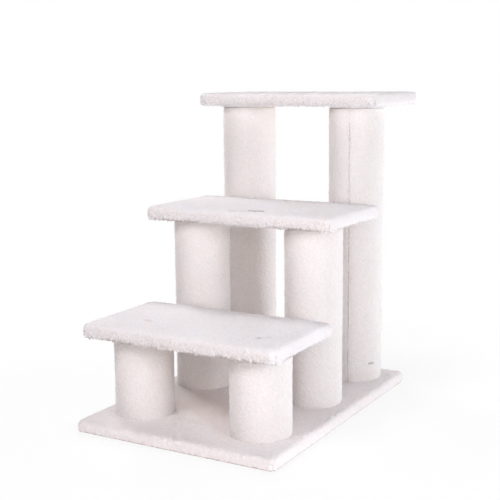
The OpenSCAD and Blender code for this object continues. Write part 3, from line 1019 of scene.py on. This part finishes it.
def paper_material(name, dark, light):
    """Kraft paper, with fibres that run up the tube."""
    material, graph = new_material(name)
    fibres = graph.noise(PAPER_SCALE, detail=6, roughness=0.6, stretch=PAPER_STRETCH)
    return shaded(material, graph, {
        "Base Color": graph.mottle(fibres, dark, light),
        "Roughness": 0.85,
        "Normal": graph.bump(fibres, 0.3, 0.2 * MM),
    })


# Zinc: the scales of its mottles and scratches, how these are stretched, how dark its mottles get, and how
# much smoother and rougher than its own roughness its scratches are
MOTTLE_SCALE = 260
SCRATCH_SCALE = 900
SCRATCH_STRETCH = (1, 1, 0.2)
MOTTLE_DARK = 0.82
SCRATCH_SMOOTHER = 0.08
SCRATCH_ROUGHER = 0.12


def zinc_material(name, color, roughness):
    """Zinc-plated steel with a mottled, lightly scratched surface."""
    material, graph = new_material(name)
    scratches = graph.add("MapRange", {
        "Value": graph.noise(SCRATCH_SCALE, detail=3, stretch=SCRATCH_STRETCH),
        "To Min": roughness - SCRATCH_SMOOTHER,
        "To Max": roughness + SCRATCH_ROUGHER,
    })
    return shaded(material, graph, {
        "Base Color": graph.mottle(graph.noise(MOTTLE_SCALE), shade(color, MOTTLE_DARK), color),
        "Metallic": 1.0,
        "Roughness": scratches.outputs["Result"],
    })


# The finish of each slot of the record, but for the fleece, which has one for each kind of cover
MATERIALS = {
    # The fleece tints are lit and shaded copies of one fleece, as painted light: the base's lightest, the
    # posts' darkest
    "step_fleece": fleece_material("step_fleece", (0.9, 0.876, 0.905)),
    "post_fleece": fleece_material("post_fleece", (0.882, 0.85, 0.854)),
    "base_fleece": fleece_material("base_fleece", (1.0, 0.95, 0.968)),
    "pressed_wood": wood_material("pressed_wood", (0.36, 0.23, 0.12), (0.62, 0.46, 0.29), 420),
    "plug_wood": wood_material("plug_wood", (0.45, 0.29, 0.15), (0.70, 0.52, 0.32), 260),
    "tube_paper": paper_material("tube_paper", (0.33, 0.22, 0.13), (0.50, 0.36, 0.23)),
    "zinc_steel": zinc_material("zinc_steel", (0.74, 0.75, 0.78), 0.32),
    "staple_wire": zinc_material("staple_wire", (0.55, 0.55, 0.57), 0.38),
}


def dress_soft(piece, node, finish):
    """Puts a fleece piece in its place on the frame."""
    piece.data.materials.append(MATERIALS[finish])
    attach(piece, "root")
    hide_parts(node)


def dress_nodes():
    """The finish of each CAD node, by its slot in the record. The fleece nodes are replaced later."""
    slots = {part["node"]: part["material_slot"] for part in frame["record"]["subparts"]}
    for name, node in frame["nodes"].items():
        finish = MATERIALS.get(slots[name], MATERIALS["step_fleece"])
        node.data.materials.clear()
        node.data.materials.append(finish)


# Camera and light, from the photo

FOCAL_PX = 1005.7
FRAME_PX = 500
SENSOR = 36
BASE_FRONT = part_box("base_cover")[0].y
CAMERA_AT = Vector((956.5 * MM, BASE_FRONT - 1377.4 * MM, 639.5 * MM))
CAMERA_YAW = math.radians(29.851)
CAMERA_PITCH = math.radians(9.675)
CAMERA_ROLL = math.radians(-0.435)


def add_camera():
    """The photo's camera, as fitted to its outlines."""
    camera = bpy.data.objects.new("camera", bpy.data.cameras.new("camera"))
    camera.data.sensor_width = SENSOR
    camera.data.lens = SENSOR * FOCAL_PX / FRAME_PX
    forward = Vector((
        -math.sin(CAMERA_YAW) * math.cos(CAMERA_PITCH),
        math.cos(CAMERA_YAW) * math.cos(CAMERA_PITCH),
        -math.sin(CAMERA_PITCH),
    ))
    right = Vector((math.cos(CAMERA_YAW), math.sin(CAMERA_YAW), 0))
    up = right.cross(forward)
    c, s = math.cos(CAMERA_ROLL), math.sin(CAMERA_ROLL)
    turned_right = c * right + s * up
    turned_up = c * up - s * right
    axes = Matrix((turned_right, turned_up, -forward)).transposed()
    camera.matrix_world = Matrix.Translation(CAMERA_AT) @ axes.to_4x4()
    link(camera)
    bpy.context.scene.camera = camera


# A light tent: soft lamps in a ring round the object and one over it. For each of the ring: how far round
# from the front to the right, in degrees, how high, its power in watts and its tint
TENT_RADIUS = 1.4
TENT_AIM = Vector((0, 0, 0.3))
LAMP_SIZE = 0.6
LAMPS = {
    "front_left": (-12, 1.2, 9.2, (0.97, 0.965, 1.0)),
    "front": (24, 0.7, 3.5, (1.0, 0.88, 0.86)),
    "front_right": (62, 0.45, 7.6, (0.93, 0.955, 1.0)),
    "back_right": (140, 0.4, 8.2, (0.93, 0.955, 1.0)),
    "back_left": (240, 0.8, 11.5, (0.98, 0.97, 0.965)),
}
TOP_LAMP_HEIGHT = 2.2
TOP_LAMP_POWER = 14.4
TOP_LAMP_COLOR = (1.0, 0.985, 1.0)


def add_lamp(name, at, power, color):
    """A round lamp that faces the object."""
    lamp = bpy.data.objects.new(name, bpy.data.lights.new(name, "AREA"))
    lamp.data.shape = "DISK"
    lamp.data.size = LAMP_SIZE
    lamp.data.energy = power
    lamp.data.color = color
    lamp.location = at
    lamp.rotation_euler = (TENT_AIM - at).to_track_quat("-Z", "Y").to_euler()
    lamp.visible_camera = False
    link(lamp)


def add_lamps():
    """The ring of lamps and the one on top."""
    for name, (round_from_front, height, power, color) in LAMPS.items():
        a = math.radians(round_from_front)
        at = Vector((TENT_RADIUS * math.sin(a), -TENT_RADIUS * math.cos(a), height))
        add_lamp(name, at, power, color)
    add_lamp("top", Vector((0, 0, TOP_LAMP_HEIGHT)), TOP_LAMP_POWER, TOP_LAMP_COLOR)


# The tent's wall is brightest level with the object and falls off to nothing overhead
WALL_LIGHT = 1.4
WALL_FALL = 8
WALL_COLOR = (1.0, 0.98, 0.88)


def add_world():
    """The wall of the tent, which the camera sees as white."""
    world = bpy.data.worlds.new("studio")
    bpy.context.scene.world = world
    graph = Graph(world)
    direction = graph.add("TexCoord").outputs["Generated"]
    up = graph.add("SeparateXYZ", {"Vector": direction}).outputs["Z"]
    from_top = graph.calc("SUBTRACT", 1.0, up, clamp=True)
    strength = graph.calc("MULTIPLY", WALL_LIGHT, graph.calc("POWER", from_top, WALL_FALL))
    soft = graph.add("Background", {"Color": (*WALL_COLOR, 1), "Strength": strength}).outputs["Background"]
    white = graph.add("Background", {"Color": (*WHITE, 1), "Strength": 1.0}).outputs["Background"]
    graph.add("OutputWorld", {"Surface": graph.seen_as_white(soft, white)})


# The floor lies a little under the object. Near the object it shows this much of its own shade, and away from
# it, from one distance to another, it goes over into the white background.
FLOOR_HALF = 6.0
FLOOR_DROP = 0.5 * MM
FLOOR_COLOR = (0.97, 0.97, 0.97)
FLOOR_SHADE = 0.18
SHADOW_FROM = 0.35
SHADOW_TO = 0.9


def add_floor():
    """A plain white floor that keeps the object's shadow, but faint, as in the photo."""
    mesh = bpy.data.meshes.new("floor")
    h, z = FLOOR_HALF, -FLOOR_DROP
    mesh.from_pydata([(-h, -h, z), (h, -h, z), (h, h, z), (-h, h, z)], [], [(0, 1, 2, 3)])
    floor = bpy.data.objects.new("floor", mesh)
    link(floor)
    material, graph = new_material("floor")
    matte = graph.add("BsdfDiffuse", {"Color": (*FLOOR_COLOR, 1)}).outputs["BSDF"]
    white = graph.add("Emission", {"Color": (*WHITE, 1), "Strength": 1.0}).outputs["Emission"]
    place = graph.add("TexCoord").outputs["Object"]
    reach = graph.add("VectorMath", {0: place}, operation="LENGTH").outputs["Value"]
    share = graph.add("MapRange", {
        "Value": reach,
        "From Min": SHADOW_FROM,
        "From Max": SHADOW_TO,
        "To Min": 1 - FLOOR_SHADE,
        "To Max": 1.0,
    }, interpolation_type="SMOOTHSTEP")
    seen = graph.seen_as_white(matte, white, share.outputs["Result"])
    graph.add("OutputMaterial", {"Surface": seen})
    mesh.materials.append(material)


dress_nodes()
base_cover()
for i in range(len(STEPS)):
    step_cover(i)
for row in ROWS:
    for side in SIDES:
        sleeve(row, side)
add_camera()
add_floor()
add_world()
add_lamps()
bpy.context.scene.view_settings.view_transform = "Standard"
